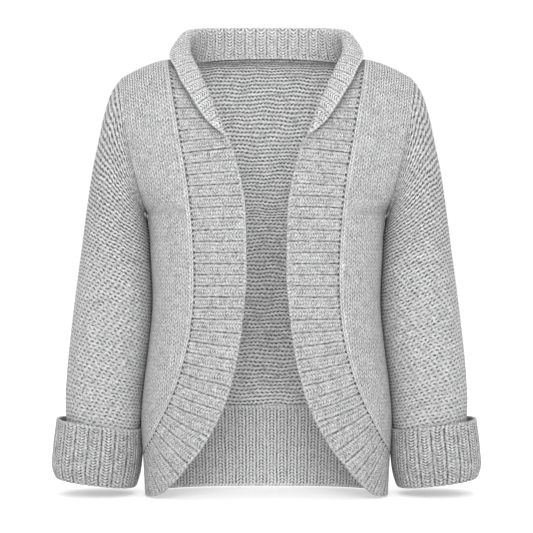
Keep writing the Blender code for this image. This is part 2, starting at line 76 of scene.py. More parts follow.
# %% Sizes of the knit and the body
CLOTH = 3.0 * MM  # thickness of the plain knit
RIB_CLOTH = 4.4 * MM  # thickness of a rib knit through its wide columns
RIB_GROOVE = 1.1 * MM  # depth of the groove between two ribs

TORSO_COLUMNS = ("z", "half_width", "front_depth", "back_depth")
TORSO = (
    (-613, 172, 91, 101), (-558, 175, 92, 102), (-534, 176.5, 93, 102), (-505, 177.5, 94, 101),
    (-470, 175, 95, 98), (-400, 166.5, 96, 94), (-346, 161.5, 97, 92), (-280, 164, 101, 97),
    (-215, 169.5, 103, 104), (-192, 176, 103, 105), (-150, 186, 102, 106), (-115, 194, 100, 106),
)
SECTION_POWER = 2.5  # 2 is an ellipse, more is squarer
HEM_Z = -0.613
RIB_TOP_Z = -0.4945
FRONT_END_Z = -0.557  # where a front ends in a point on the side seam
ROLL_Z = -0.115  # above this the panels roll over to the shoulder seams
ROLL_POWER = 2.2
NECK_POINT_X = 0.1385
NECK_POINT_Z = 0.003
SHOULDER_END_X = 0.206
SHOULDER_DROP = 0.027
SHOULDER_DROP_POWER = 1.5
BACK_NECK_Y = 0.072
BACK_NECK_RISE = 0.008
NECK_POWER = 2.3
ARMHOLE_DEPTH = 0.066
ARMHOLE_MIDDLE_Z = -0.118
ARMPIT_Z = -0.215
ARMHOLE_POWER = 2.4
BACK_NECK_SHARE = 0.68  # of the back's half width at ROLL_Z lies under the neck
print(len(TORSO), "torso sections")

# %% [markdown]
# The rib strip has three tables: its seam on the front, its rib lines from the seam to the free
# edge, and the line that the collar folds on. Beside the fold line's place stand the length beyond
# the fold, the bow of the part that stands, the turn about the fold and the curl of what falls.

# %% Sizes of the rib strip
BAND_SEAM_COLUMNS = ("z", "x")
BAND_SEAM = (
    (-557, 174.9), (-553, 173.6), (-545, 170), (-531, 161.5), (-505, 148), (-480, 135),
    (-450, 123), (-400, 109), (-360, 102.5), (-300, 100), (-240, 102.5), (-165, 110.5),
    (-115, 119),
)
BAND_COLUMNS = ("seam_z", "edge_x", "edge_z")
BAND = (
    (-135, 46, -128), (-161, 38.5, -156), (-192, 31.5, -189), (-224, 28.5, -222),
    (-269, 27.5, -269), (-307, 27.5, -307), (-330, 29, -330), (-364, 32.5, -365),
    (-394, 37.5, -403), (-428, 46, -443), (-453, 55.5, -476), (-477, 66.5, -501.5),
    (-493, 79.5, -526), (-505, 92.5, -546), (-519, 108, -564.5), (-531, 121, -581.5),
    (-542, 137, -597), (-551.5, 154, -609.5), (-558, 172, -613),
)
FOLD_END_Z = BAND[0][0] * MM
COLLAR_COLUMNS = ("x", "y", "z", "flip", "bow", "turn", "curl")
COLLAR_FRONT = (
    (46, -101.5, -128, 0, 3, 170, 0), (57, -99, -104, 13, 3, 168, 5),
    (68, -92.5, -78, 28, 2, 163, 12), (80, -80, -52, 38, 1, 158, 20),
    (91, -62, -27, 43, -1, 158, 28), (100, -40, -2, 37, -3, 158, 28),
    (104, -18, 21, 30, -4, 165, 28),
)
COLLAR_BACK = (
    (104, -18, 21, 30, -4, 165, 28), (104.5, 4, 41, 32, -5, 176, 30),
    (96, 36, 52, 42, -4, 172, 26), (66, 66, 57, 50, -1, 164, 20),
    (35, 75.5, 58.5, 50, 0, 165, 18), (0, 78, 59, 50, 0, 165, 18),
)
FOLD_RADIUS = 4 * MM
BAND_RIBS = 31
COLLAR_RIBS = 46
HEM_RIBS = 30
CUFF_RIBS = 22
print(2 * BAND_RIBS + COLLAR_RIBS, "ribs in the strip")

# %% [markdown]
# A sleeve is given by rings. Each has its outermost and its innermost point, half its depth and
# where its middle lies from front to back. The cuff's rings go down to its fold and up again.

# %% Sizes of the sleeves and cuffs
RING_COLUMNS = ("out_x", "out_z", "in_x", "in_z", "half_depth", "middle_y")
SLEEVE = (
    (219, -43, 171, -220, 68, 2), (229, -72, 170.7, -221, 70, 5),
    (238, -111, 169.8, -223, 71, 9), (246.5, -150, 168.7, -230, 71, 13),
    (254, -196, 165.8, -257, 70, 17), (263, -261, 162.1, -316, 69, 21),
    (272, -327, 163.4, -378, 67, 22), (280, -395, 170.8, -438, 65, 20),
    (285, -446, 175.8, -480, 63, 18), (286.5, -479, 176.9, -505, 61.5, 17),
    (285, -512, 182.3, -531, 60, 16),
)
SLEEVE_POWER = 2.4
CUFF = (
    (285, -512.4, 182.3, -531.4, 60, 16), (292, -573, 191, -588, 60.5, 16),
    (298, -588, 188, -602, 63, 16), (302.5, -578, 184, -591, 65.5, 16),
    (302, -548, 179.5, -563, 66, 16), (297, -506, 178.3, -521, 64, 16),
)
print(len(SLEEVE), "sleeve rings,", len(CUFF), "cuff rings")

# %% [markdown]
# A few helpers do the sums. Between the rows of a table a size follows a cubic curve that passes
# each row with the slope of its neighbours, as a knitter's shaping does.

# %% Helpers for tables, curves and normals
def columns_of(names, table):
    """The table's columns by name, in metres and radians."""
    units = [DEGREE if name in ("turn", "curl") else MM for name in names]
    return dict(zip(names, np.array(table, float).T * np.array(units)[:, None]))


def smooth(at, knots, values):
    """Cubic between knots: its value is the knot's, and its slope there is the central difference
    of the knot's neighbours."""
    slopes = np.gradient(values, knots, axis=0)
    place = np.clip(np.searchsorted(knots, at, side="right") - 1, 0, len(knots) - 2)
    step = knots[place + 1] - knots[place]
    share = (at - knots[place]) / step
    if values.ndim == 2:
        step, share = step[..., None], share[..., None]
    left = 1 - share
    start = values[place] * left**2 * (1 + 2 * share) + slopes[place] * step * share * left**2
    end = values[place + 1] * share**2 * (3 - 2 * share)
    return start + end - slopes[place + 1] * step * share**2 * left


def rounded(share, power):
    """The other coordinate of a superellipse of radius 1: (1 - share^power)^(1 / power)."""
    return np.maximum(1 - np.abs(share) ** power, 0) ** (1 / power)


def lengths_along(points):
    """Distance of each point from the first, along the line through them."""
    return np.concatenate([[0], np.cumsum(np.linalg.norm(np.diff(points, axis=0), axis=1))])


def unit(vectors):
    """Each vector over its own length."""
    return vectors / np.linalg.norm(vectors, axis=-1, keepdims=True)


def surface_normals(grid, around=False):
    """Cross product of the steps down and across the grid, made unit length. With around, the
    last column is the first one again."""
    if around:
        padded = np.concatenate([grid[:, -2:-1], grid, grid[:, 1:2]], axis=1)
        across = (padded[:, 2:] - padded[:, :-2]) / 2
    else:
        across = np.gradient(grid, axis=1)
    return unit(np.cross(np.gradient(grid, axis=0), across))


def mirrored(grid):
    """The same points with x turned to -x."""
    return grid * np.array((-1.0, 1.0, 1.0))


print("a quarter turn is", 90 * DEGREE)

# %% [markdown]
# A piece is a closed wall between an outer and an inner grid, joined at its edges. A Solidify
# modifier could thicken one grid, but the two faces of knitting differ in relief.

# %% The squares of a closed wall
def wall_quads(ids, back, around):
    """Corners of every square. The outer face's points are numbered by ids, the inner face's by
    ids + back and the other way round, and the rims join the two."""
    outer = np.stack([ids[:-1, :-1], ids[:-1, 1:], ids[1:, 1:], ids[1:, :-1]], axis=-1)
    inner = np.stack([ids[1:, :-1], ids[1:, 1:], ids[:-1, 1:], ids[:-1, :-1]], axis=-1) + back
    rims = [(ids[0], ids[0] + back), (ids[-1] + back, ids[-1])]
    if not around:
        rims += [(ids[:, 0] + back, ids[:, 0]), (ids[:, -1], ids[:, -1] + back)]
    joins = [np.stack([one[:-1], two[:-1], two[1:], one[1:]], axis=-1) for one, two in rims]
    return np.concatenate([outer.reshape(-1, 4), inner.reshape(-1, 4), *joins])


def inside_out(squares):
    """Whether the volume is negative: the sum, over each square's two triangles, of the first
    corner times the cross product of the other two."""
    volume = np.einsum("ij,ij->", squares[:, 0], np.cross(squares[:, 1], squares[:, 2]))
    volume += np.einsum("ij,ij->", squares[:, 0], np.cross(squares[:, 2], squares[:, 3]))
    return volume < 0


def mesh_of(name, points, faces):
    """A mesh from an array of points and an array of squares."""
    mesh = bpy.data.meshes.new(name)
    mesh.vertices.add(len(points))
    mesh.vertices.foreach_set("co", points.ravel())
    mesh.loops.add(faces.size)
    mesh.loops.foreach_set("vertex_index", faces.ravel())
    mesh.polygons.add(len(faces))
    mesh.polygons.foreach_set("loop_start", np.arange(0, faces.size, 4))
    mesh.polygons.foreach_set("loop_total", np.full(len(faces), 4))
    return mesh


print("walls are ready")

# %% [markdown]
# The piece's UV map counts stitches: u is the number of stitches across, v the number of rows
# along, so a material can draw each stitch where it is knitted. The inner face has the second
# material, because stocking stitch shows Vs on one side and bumps on the other.

# %% One piece of knitted cloth
def knitted(name, outside, inside, stitches, materials, around=False):
    """A closed wall between two grids. With around, the last column is the first one again and
    is welded to it, while the UV map runs on."""
    rows, columns = outside.shape[:2]
    own = columns - 1 if around else columns
    points = np.concatenate([wall[:, :own].reshape(-1, 3) for wall in (outside, inside)])
    index = np.arange(rows * own).reshape(rows, own)
    if around:
        index = np.concatenate([index, index[:, :1]], axis=1)
    number = np.arange(rows * columns).reshape(rows, columns)
    faces = wall_quads(index, rows * own, around)
    corners = wall_quads(number, rows * columns, around)
    if inside_out(points[faces]):
        faces, corners = faces[:, ::-1], corners[:, ::-1]
    mesh = mesh_of(name, points, faces)
    one_face = (rows - 1) * (columns - 1)
    material_index = np.zeros(len(faces), int)
    material_index[one_face : 2 * one_face] = len(materials) - 1
    mesh.polygons.foreach_set("material_index", material_index)
    for map_name, own_counts in stitches.items():
        layer = mesh.uv_layers.new(name=map_name)
        both = np.concatenate([own_counts.reshape(-1, 2)] * 2)
        layer.data.foreach_set("uv", both[corners.ravel()].ravel())
    mesh.update()
    mesh.validate()
    mesh.shade_smooth()
    for material in materials:
        mesh.materials.append(material)
    piece = bpy.data.objects.new(name, mesh)
    bpy.context.scene.collection.objects.link(piece)
    print(name, len(faces) * 2, "triangles")
    return piece


print("ready to knit")

# %% [markdown]
# Wool in heather grey is spun from light and dark fibres, so it is speckled close up and even from
# afar. The stitches shade each other, and that shade is painted into the colour: the tops are painted
# light and the holes between them dark. A small class lets the sums for a stitch be written as plain
# sums, and adds a Math node for each.

# %% Sums on the surface
class Amount:
    """A number that differs from place to place on the surface, held by a node's output."""

    def __init__(self, tree, socket):
        self.tree = tree
        self.socket = socket

    def math(self, operation, *others, clamp=False):
        node = self.tree.nodes.new("ShaderNodeMath")
        node.operation = operation
        node.use_clamp = clamp
        for place, value in zip(node.inputs, (self, *others)):
            if isinstance(value, Amount):
                self.tree.links.new(value.socket, place)
            else:
                place.default_value = value
        return Amount(self.tree, node.outputs[0])

    def __add__(self, other):
        return self.math("ADD", other)

    def __sub__(self, other):
        return self.math("SUBTRACT", other)

    def __mul__(self, other):
        return self.math("MULTIPLY", other)

    def clamped(self):
        """The number, but never under 0 or over 1."""
        return self.math("ADD", 0.0, clamp=True)

    def away_from(self, centre):
        """The distance from a centre value, never negative."""
        return (self - centre).math("ABSOLUTE")

    def part(self):
        """The part after the whole number: where in the stitch this is."""
        return self.math("FRACT")

    def wave(self, turns=1.0, shift=0.0):
        """A sine wave from 0 to 1, with this many turns a unit."""
        angle = self * (2 * np.pi * turns) + 2 * np.pi * shift
        return (angle.math("SINE") * 0.5) + 0.5

    def between(self, low, high):
        """0 at low and 1 at high, and held there beyond."""
        return ((self - low) * (1 / (high - low))).clamped()

    def toward(self, other, share):
        """This number where the share is 0, and the other one where it is 1."""
        return self + (other - self) * share


print("sums are ready")

# %% [markdown]
# Three patterns cover the whole garment, and a plain chain finishes the strip's edges. Stocking
# stitch shows columns of Vs on its right side. Its wrong side, and the sleeves, show wavy ridges
# of small bumps. The rib is a wide column of Vs between two thin smooth ridges, with a deep groove
# where one rib meets the next.

# %% Patterns: height from 0 in the holes to 1 on the tops
ROW_WAVE = 0.18  # how far a row of bumps waves, in rows
ROW_STEP = 0.4  # how far the bumps step aside from row to row, in stitches
STITCH_MIDDLE = 0.5


def vees(u, v):
    """Two legs a stitch, a quarter of it from the middle: 1 - 12 * distance^2. They are lower
    between strands, which slant in towards the stitch's middle."""
    across = u.part().away_from(STITCH_MIDDLE)
    off_leg = across.away_from(0.25)
    leg = (off_leg * off_leg * -12.0) + 1.0
    strand = (v + across * 2.0).wave()
    return leg * ((strand * 0.6) + 0.4)


def bumps(u, v, dots=0.6):
    """A flat-topped ridge for each row that waves once a stitch. The gap between two ridges is
    bridged once a stitch, more so with more dots. From one row to the next the bridges step
    aside by ROW_STEP of a stitch."""
    ridge = (v + u.wave() * ROW_WAVE).wave().between(0.0, 0.8)
    bridge = (u + v.math("FLOOR") * ROW_STEP).wave(1.0, 0.25)
    return (ridge - 1.0) * (bridge * dots * -1.0 + 1.0) + 1.0


def rib(u, v, lines=0.22, groove=0.28, strokes=0.42):
    """Half a rib out from the groove: a light line at 1/6, a dark one at 1/3, a light one at 1/2,
    as a sine of three turns a rib: painted light on the ridges and painted shade between them. The
    groove is darker with painted shade, and the middle column has strands that slant in towards it."""
    off_groove = u.part().away_from(STITCH_MIDDLE).away_from(0.5)
    strand = (v + off_groove * 2.4).wave() - 0.5
    column = (off_groove.between(0.22, 0.34) * 0.65) + 0.35
    ridges = (off_groove.wave(3.0, -0.25) - 0.5) * lines
    # lines sets the painted light on the ridges, groove the painted shade in the groove.
    return ridges + (strand * column * strokes) - (off_groove.between(0.08, 0.0) * groove) + 0.5


def chain_edge(along):
    """A smooth chain: one soft strand a unit."""
    return (along.wave() * 0.3) + 0.42


print("patterns are ready")

# %% [markdown]
# Filled out, the body's level section is a superellipse, flatter than a circle and rounder than a
# box. A point on it is given by a height and an angle that is 0 at the middle and a right angle at
# the side seam.

# %% The torso as a function of height and angle
def armhole_depth(z):
    """Half the armhole's width at a height: a superellipse from its middle to the armpit."""
    share = np.clip((ARMHOLE_MIDDLE_Z - z) / (ARMHOLE_MIDDLE_Z - ARMPIT_Z), 0, 1)
    return ARMHOLE_DEPTH * rounded(share, ARMHOLE_POWER)


def torso_section(z, side):
    """Half width, depth and largest angle at a height. Side is -1 in front and 1 behind. The
    largest angle is the side seam's, and where the armhole cuts the panel, its edge's."""
    torso = columns_of(TORSO_COLUMNS, TORSO)
    z = np.asarray(z, float)
    half_width = smooth(z, torso["z"], torso["half_width"])
    depth = smooth(z, torso["z"], torso["front_depth" if side < 0 else "back_depth"])
    cut = np.where(z > ARMPIT_Z, armhole_depth(z) / depth, 0.0)
    return half_width / rounded(cut, SECTION_POWER), depth, np.arccos(cut ** (SECTION_POWER / 2))


def torso_point(angle, z, side):
    """x = half width * sin(angle)^(2 / power), y = depth * cos(angle)^(2 / power)."""
    half_width, depth, _ = torso_section(z, side)
    x = half_width * np.sin(angle) ** (2 / SECTION_POWER)
    y = side * depth * np.cos(angle).clip(0, 1) ** (2 / SECTION_POWER)
    return np.stack(np.broadcast_arrays(x, y, z), axis=-1)


def torso_angle(x, z, side):
    """The angle at which the torso has this x."""
    return np.arcsin(np.clip(x / torso_section(z, side)[0], 0, 1) ** (SECTION_POWER / 2))


def band_seam_x(z):
    """x of the seam between the front and the band at a height."""
    seam = columns_of(BAND_SEAM_COLUMNS, BAND_SEAM)
    return smooth(np.asarray(z, float), seam["z"], seam["x"])


print("waist:", (np.array(torso_section(-0.346, 1)[:2]) / MM).round(1), "mm")

# %% [markdown]
# Above the chest each panel rolls over to the shoulder seam along a quarter of another
# superellipse. The roll joins each place on the seam to the place below it on the highest level
# section.

# %% Panels with rolled shoulders
ROLL_TURNS = np.linspace(0, np.pi / 2, 15)[:-1]


def panel_top(x, side):
    """The shoulder seam, sinking outwards, and on the back the neck's curve between them."""
    outward = np.clip((x - NECK_POINT_X) / (SHOULDER_END_X - NECK_POINT_X), 0, 1)
    inward = np.clip(x / NECK_POINT_X, 0, 1)
    y = (side > 0) * BACK_NECK_Y * rounded(inward, NECK_POWER)
    rise = (side > 0) * BACK_NECK_RISE * (1 - inward**2)
    z = NECK_POINT_Z - SHOULDER_DROP * outward**SHOULDER_DROP_POWER + rise
    return np.stack([x, y, z], axis=-1)


def panel(side, turns, levels, shares, inner_x=None):
    """Rows from the top edge down to ROLL_Z by these turns of the roll, then level rows. Columns
    share the angle between the inner edge and the armhole or side seam."""
    largest = torso_section(ROLL_Z, side)[2]
    start = torso_angle(inner_x(ROLL_Z), ROLL_Z, side) if inner_x else 0.0
    low = torso_point(start + (largest - start) * shares, ROLL_Z, side)
    neck_share = 0.0 if inner_x else BACK_NECK_SHARE
    neck_x = torso_point(start + (largest - start) * neck_share, ROLL_Z, side)[0]
    slope = (SHOULDER_END_X - NECK_POINT_X) / (low[-1, 0] - neck_x)
    top_x = NECK_POINT_X + (low[:, 0] - neck_x) * slope
    if not inner_x:
        top_x = np.where(low[:, 0] > neck_x, top_x, low[:, 0] * NECK_POINT_X / neck_x)
    top = panel_top(top_x, side)
    down = 1 - np.cos(turns) ** (2 / ROLL_POWER)
    out = np.sin(turns) ** (2 / ROLL_POWER)
    roll = top + (low - top) * np.stack([down, out, down], axis=-1)[:, None]
    largest = torso_section(levels, side)[2]
    start = torso_angle(inner_x(levels), levels, side) if inner_x else levels * 0
    angles = start[:, None] + (largest - start)[:, None] * shares
    return np.concatenate([roll, torso_point(angles, levels[:, None], side)])


print("shoulder seam ends at", panel_top(np.array(SHOULDER_END_X), -1).round(3))

# %% [markdown]
# Knitting has even rows and stitches, so each coarse surface is read again at even distances. Hand
# knitting also wanders: its rows run a little up and down. The mesh and the material share the
# same wandering counts, so relief and colour stay together.

# %% Even rows, columns and counts on any grid
def even_places(grid, axis):
    """Average distance of each row, or column, from the first, as a share of the whole, and the
    whole."""
    steps = np.linalg.norm(np.diff(grid, axis=axis), axis=-1).mean(axis=1 - axis)
    return np.append(0, np.cumsum(steps)) / steps.sum(), steps.sum()


def refined(grid, rows, columns):
    """Smooth curves through the grid's rows and columns, read at these shares of their average
    lengths."""
    for axis, wanted in ((0, rows), (1, columns)):
        knots = even_places(grid, axis)[0]
        lines = np.moveaxis(grid, axis, 0)
        fine = smooth(np.asarray(wanted, float), knots, lines.reshape(len(knots), -1))
        grid = np.moveaxis(fine.reshape(len(wanted), *lines.shape[1:]), 0, axis)
    return grid


def report_size(name, grid, other="wide"):
    """Print the average lengths of a grid's columns and rows, and its area: the length of the
    cross product of each square's sides, summed."""
    sides = np.cross(np.diff(grid[:, :-1], axis=0), np.diff(grid[:-1], axis=1))
    long, wide = (round(even_places(grid, axis)[1], 4) for axis in range(2))
    area = round(np.linalg.norm(sides, axis=-1).sum(), 4)
    print(f"{name}: {long} m long, {wide} m {other}, {area} square metres")


def counts(rows, columns):
    """A grid of (u, v) from the row numbers v and the column numbers u."""
    u, v = np.broadcast_arrays(
        np.asarray(columns, float)[None, :], np.asarray(rows, float)[:, None]
    )
    return np.stack([u, v], axis=-1)


DRIFT_ASIDE = ((1.0, 2, 0.43, 0.0), (0.8, 5, -0.71, 2.0), (0.5, 9, 1.1, 0.0))
DRIFT_DOWN = ((1.0, 3, 0.31, 0.0), (0.8, 7, -0.17, 1.0), (0.6, 12, 0.53, 0.0))


def drifted(grid_counts, round_stitches, amount):
    """Counts plus amount * a sum of sines. Each sine has a weight, whole turns over
    round_stitches, an angle a row and a start, and no two sines keep step."""
    turn = 2 * np.pi * grid_counts[..., 0] / round_stitches
    v = grid_counts[..., 1]
    drift = [
        sum(weight * np.sin(turns * turn + angle * v + start) for weight, turns, angle, start in sines)
        for sines in (DRIFT_ASIDE, DRIFT_DOWN)
    ]
    return grid_counts + amount * np.stack(drift, axis=-1)


print(len(DRIFT_DOWN), "sines each way")

# %% [markdown]
# The relief in the mesh follows the patterns. A rib gets ten lines of points, set where its
# profile bends: at the groove, on the thin ridge and over the wide column.

# %% Relief of bumps and ribs
LINES_A_ROW = 3
RIB_MARKS = (0, 0.07, 0.155, 0.25, 0.33, 0.5, 0.67, 0.75, 0.845, 0.93)
RIB_PROFILE = ((0, 0.07, 0.155, 0.25, 0.33, 0.5), (0, 0.6, 1.0, 0.85, 0.75, 1.0))


def bump_relief(u, v):
    """The same wavy ridges as in the material, from 0 to 1: a sine across the rows, bent by a
    sine along them, and lower between the bumps."""
    bent = v + ROW_WAVE * (0.5 + 0.5 * np.sin(2 * np.pi * u))
    bump = 0.5 + 0.5 * np.sin(2 * np.pi * (u + ROW_STEP * np.floor(v) + 0.25))
    return (0.5 + 0.5 * np.sin(2 * np.pi * bent)) * (0.5 + 0.5 * bump)


def rib_lines(ribs):
    """Places of the lines over all ribs, in ribs, ending on a groove."""
    return np.append((np.arange(ribs)[:, None] + RIB_MARKS).ravel(), ribs)


def rib_relief(places):
    """How far the surface lies below the tops of the ribs: RIB_GROOVE * (1 - profile)."""
    off_groove = 0.5 - np.abs(places % 1 - 0.5)
    return RIB_GROOVE * (1 - np.interp(off_groove, *RIB_PROFILE))


def wool_walls(base, thickness, lift_out=0.0, lift_in=0.0):
    """Outer and inner points along the base surface's normals, with their reliefs. The normals
    are turned so that on the whole they lead away from the surface's middle."""
    normals = surface_normals(base)
    from_middle = base - base.mean(axis=(0, 1))
    normals *= np.sign((normals * from_middle)[..., :2].sum())
    return base + normals * lift_out, base - normals * (thickness + lift_in)


print(len(rib_lines(BAND_RIBS)), "lines across a band's ribs")

# %% [markdown]
# The back is stocking stitch with its purl side in, so through the open front it shows wavy rows
# of bumps. Those rows are raised in the mesh as well, three lines of points to a row, and the
# material adds each stitch.

# %% Back
PURL_RELIEF = 0.9 * MM
BACK_STITCHES = 70
BACK_ROWS = 94
BACK_DRIFT = 0.16


def joined_halves(half):
    """A whole piece from its left half, whose first column is on the middle line."""
    return np.concatenate([mirrored(half[:, :0:-1]), half], axis=1)


back_levels = np.linspace(ROLL_Z, RIB_TOP_Z, 40)
back_coarse = joined_halves(panel(1, ROLL_TURNS, back_levels, np.linspace(0, 1, 30)))
rows = np.linspace(0, 1, BACK_ROWS * LINES_A_ROW + 1)
across = np.linspace(0, 1, BACK_STITCHES * 2 + 1)
back_surface = refined(back_coarse, rows, across)
back_counts = counts(rows * BACK_ROWS, across * BACK_STITCHES + 0.25)
back_counts = drifted(back_counts, BACK_STITCHES, BACK_DRIFT)
purl = bump_relief(back_counts[..., 0], back_counts[..., 1])[..., None] * PURL_RELIEF
back_walls = wool_walls(back_surface, CLOTH, 0.0, purl - PURL_RELIEF / 2)
report_size("back", back_surface)

# %% [markdown]
# The fronts are smoother, so their stitches are in the material alone. Their columns of Vs run
# straight down from the shoulder, counted from the side seam, while the band's seam cuts across
# them. A second UV map counts from that seam, for the one chain of Vs that follows it.

# %% Fronts
FRONT_STITCH = 7.4 * MM
FRONT_ROW = 6.0 * MM
front_levels = np.linspace(ROLL_Z, FRONT_END_Z, 60)
front_coarse = panel(-1, ROLL_TURNS, front_levels, np.linspace(0, 1, 12), band_seam_x)
front_surface = refined(front_coarse, np.linspace(0, 1, 141), np.linspace(0, 1, 31))
front_walls = wool_walls(front_surface, CLOTH)


def lengths_over(grid, axis):
    """Distance of each point from the first one of its own row or column."""
    steps = np.linalg.norm(np.diff(grid, axis=axis), axis=-1)
    first = np.zeros_like(np.take(steps, [0], axis=axis))
    return np.concatenate([first, np.cumsum(steps, axis=axis)], axis=axis)


from_side = lengths_over(front_surface[:, ::-1], 1)[:, ::-1]
from_top = lengths_over(front_surface, 0).mean(axis=1, keepdims=True) + from_side * 0
front_counts = np.stack([from_side / FRONT_STITCH, from_top / FRONT_ROW], axis=-1)
from_seam = lengths_over(front_surface, 1)
down_seam = lengths_along(front_surface[:, 0])[:, None] + from_seam * 0
chain_counts = np.stack([from_seam / FRONT_STITCH, down_seam / FRONT_ROW], axis=-1)
report_size("front", front_surface)

# %% [markdown]
# A sleeve is a tube of rings. The first ring is the armhole's edge, and the others tilt more and
# more until the last is square to the forearm, so the knitted rows stand upright at the shoulder
# and lie nearly level at the wrist.

# %% Sleeves
ARMHOLE_LEVELS = np.array((-115, -135, -155, -175, -193, -206, -215)) * MM
OVERLAP = 3  # points of the armhole repeated past its start, so that its curve closes smoothly


def ring_grid(table, turns):
    """Rings between an outer and an inner point: x and z swing along a cosine, y along a
    superellipse of it."""
    ring = columns_of(RING_COLUMNS, table)
    swing = (1 - np.cos(turns)) / 2
    x = ring["out_x"][:, None] + (ring["in_x"] - ring["out_x"])[:, None] * swing
    z = ring["out_z"][:, None] + (ring["in_z"] - ring["out_z"])[:, None] * swing
    width = np.sign(np.sin(turns)) * rounded(np.cos(turns), SLEEVE_POWER)
    y = ring["middle_y"][:, None] - ring["half_depth"][:, None] * width
    return np.stack([x, y, z], axis=-1)


def armhole_ring(turns):
    """The panels' outer edge, read by turns: shoulder at 0, down the front, armpit half way, up
    the back."""
    roll = np.linspace(0, np.pi / 2, 6)[:-1]
    ends = np.array((0, 1.0))
    front = panel(-1, roll, ARMHOLE_LEVELS, ends, band_seam_x)[:, -1]
    back = panel(1, roll, ARMHOLE_LEVELS, ends)[:, -1]
    ring = np.concatenate([front, back[-2:0:-1]])
    points = len(ring)
    ring = np.concatenate([ring[-OVERLAP:], ring, ring[: OVERLAP + 1]])
    knots = np.arange(-float(OVERLAP), points + OVERLAP + 1)
    return smooth(turns / (2 * np.pi) * points, knots, ring)


SLEEVE_ROWS = 77
SLEEVE_STITCHES = 52
SLEEVE_RELIEF = 0.8 * MM
SLEEVE_DRIFT = 0.13
SLOW_START = 0.04  # the first rows are taller, and this share of the rows fewer
SLOW_END = 0.36  # the share of the sleeve over which they are
FADE_ROWS = 2  # the relief fades out over these rows at each end
turns = np.linspace(0, 2 * np.pi, SLEEVE_STITCHES * 5 // 2 + 1)
sleeve_coarse = np.concatenate([armhole_ring(turns)[None], ring_grid(SLEEVE, turns)])
rows = np.linspace(0, 1, SLEEVE_ROWS * LINES_A_ROW + 1)
sleeve_surface = refined(sleeve_coarse, rows, np.linspace(0, 1, len(turns)))
sleeve_surface[:, -1] = sleeve_surface[:, 0]
slow = SLOW_START * np.clip(1 - rows / SLOW_END, 0, 1) ** 2
row_counts = SLEEVE_ROWS * (rows - SLOW_START + slow)
sleeve_counts = counts(row_counts, np.linspace(0, SLEEVE_STITCHES, len(turns)))
sleeve_counts = drifted(sleeve_counts, SLEEVE_STITCHES, SLEEVE_DRIFT)
sleeve_normals = surface_normals(sleeve_surface, around=True)
sleeve_normals *= np.sign(sleeve_normals[len(rows) // 2, 0, 0])
fade = np.clip(np.minimum(rows, 1 - rows) * SLEEVE_ROWS / FADE_ROWS, 0, 1)[:, None]
ridges = bump_relief(sleeve_counts[..., 0], sleeve_counts[..., 1]) - 0.5
ridges = (ridges * SLEEVE_RELIEF * fade)[..., None]
sleeve_walls = (sleeve_surface + sleeve_normals * ridges, sleeve_surface - sleeve_normals * CLOTH)
report_size("sleeve", sleeve_surface, "round")

# %% [markdown]
# The cuff goes on from the sleeve, down to its fold and back up outside itself, as one tube. Its
# ribs are evenly wide on its widest ring, where they show best.

# %% Cuffs
CUFF_ROWS = 40
CUFF_LINES = 79
CUFF_WIDEST = 4  # the ring on which the ribs are evenly wide
LOW_EDGE = 0.35  # share of the relief that is left at a free edge
EDGE_ROWS = 1.5  # the relief grows to its whole depth over these rows
places = rib_lines(CUFF_RIBS)
fine_turns = np.linspace(0, 2 * np.pi, 721)
widest = lengths_along(ring_grid(CUFF[CUFF_WIDEST : CUFF_WIDEST + 1], fine_turns)[0])
rib_turns = np.interp(places / CUFF_RIBS * widest[-1], widest, fine_turns)
cuff_coarse = ring_grid(CUFF, rib_turns)
rows = np.linspace(0, 1, CUFF_LINES)
knots = even_places(cuff_coarse, 0)[0]
cuff_surface = smooth(rows, knots, cuff_coarse.reshape(len(CUFF), -1))
cuff_surface = cuff_surface.reshape(CUFF_LINES, len(places), 3)
cuff_normals = surface_normals(cuff_surface, around=True)
from_middle = cuff_surface[-1] - cuff_surface[-1].mean(axis=0)
cuff_normals *= np.sign((cuff_normals[-1] * from_middle).sum())
soft_edge = np.clip((1 - rows) * CUFF_ROWS / EDGE_ROWS, LOW_EDGE, 1)[:, None, None]
drop = rib_relief(places)[None, :, None] * soft_edge
cuff_outside = cuff_surface + cuff_normals * (RIB_CLOTH / 2 - drop)
cuff_inside = cuff_surface - cuff_normals * (RIB_CLOTH / 2 - 0.5 * drop)
cuff_counts = counts(rows * CUFF_ROWS, places)
report_size("cuff", cuff_surface, "round")

# %% [markdown]
# The hem hangs from the back's lowest row. Its ribs run down, on both faces, and flatten a little
# at the top and at the free edge.

# %% Hem
HEM_ROWS = 26
rows = np.linspace(0, 1, 2 * HEM_ROWS + 1)
places = rib_lines(HEM_RIBS)
hem_levels = np.linspace(RIB_TOP_Z, HEM_Z, 9)
hem_angles = np.linspace(0, np.pi / 2, 40)
hem_coarse = joined_halves(torso_point(hem_angles[None, :], hem_levels[:, None], 1))
hem_surface = refined(hem_coarse, rows, places / HEM_RIBS)
hem_edge = np.clip(np.minimum(rows, 1 - rows) * HEM_ROWS / EDGE_ROWS, 0.3, 1)[:, None, None]
drop = rib_relief(places)[None, :, None] * hem_edge
hem_walls = wool_walls(hem_surface, RIB_CLOTH, -drop, -drop)
hem_counts = counts(rows * HEM_ROWS, places)
report_size("hem", hem_surface)

# %% [markdown]
# The band and the collar are one strip: a knitter picks it up along the front's edge, round the
# neck and down the other front, and its ribs stand square to that seam. The seam is a line of
# points, and each rib line starts where its distance along the seam says.

# %% The strip's seam
neck_x = np.linspace(NECK_POINT_X, 0, 60)
band_end_z = BAND[-1][0] * MM
band_end = np.array([[torso_section(band_end_z, -1)[0], 0, band_end_z]])
seam = np.concatenate([band_end, front_surface[::-1, 0], panel_top(neck_x, 1)[1:]])
seam_lengths = lengths_along(seam)
shoulder_length = seam_lengths[len(front_surface)]
below_roll = np.arange(len(seam)) < np.argmax(seam[:, 2] > ROLL_Z)


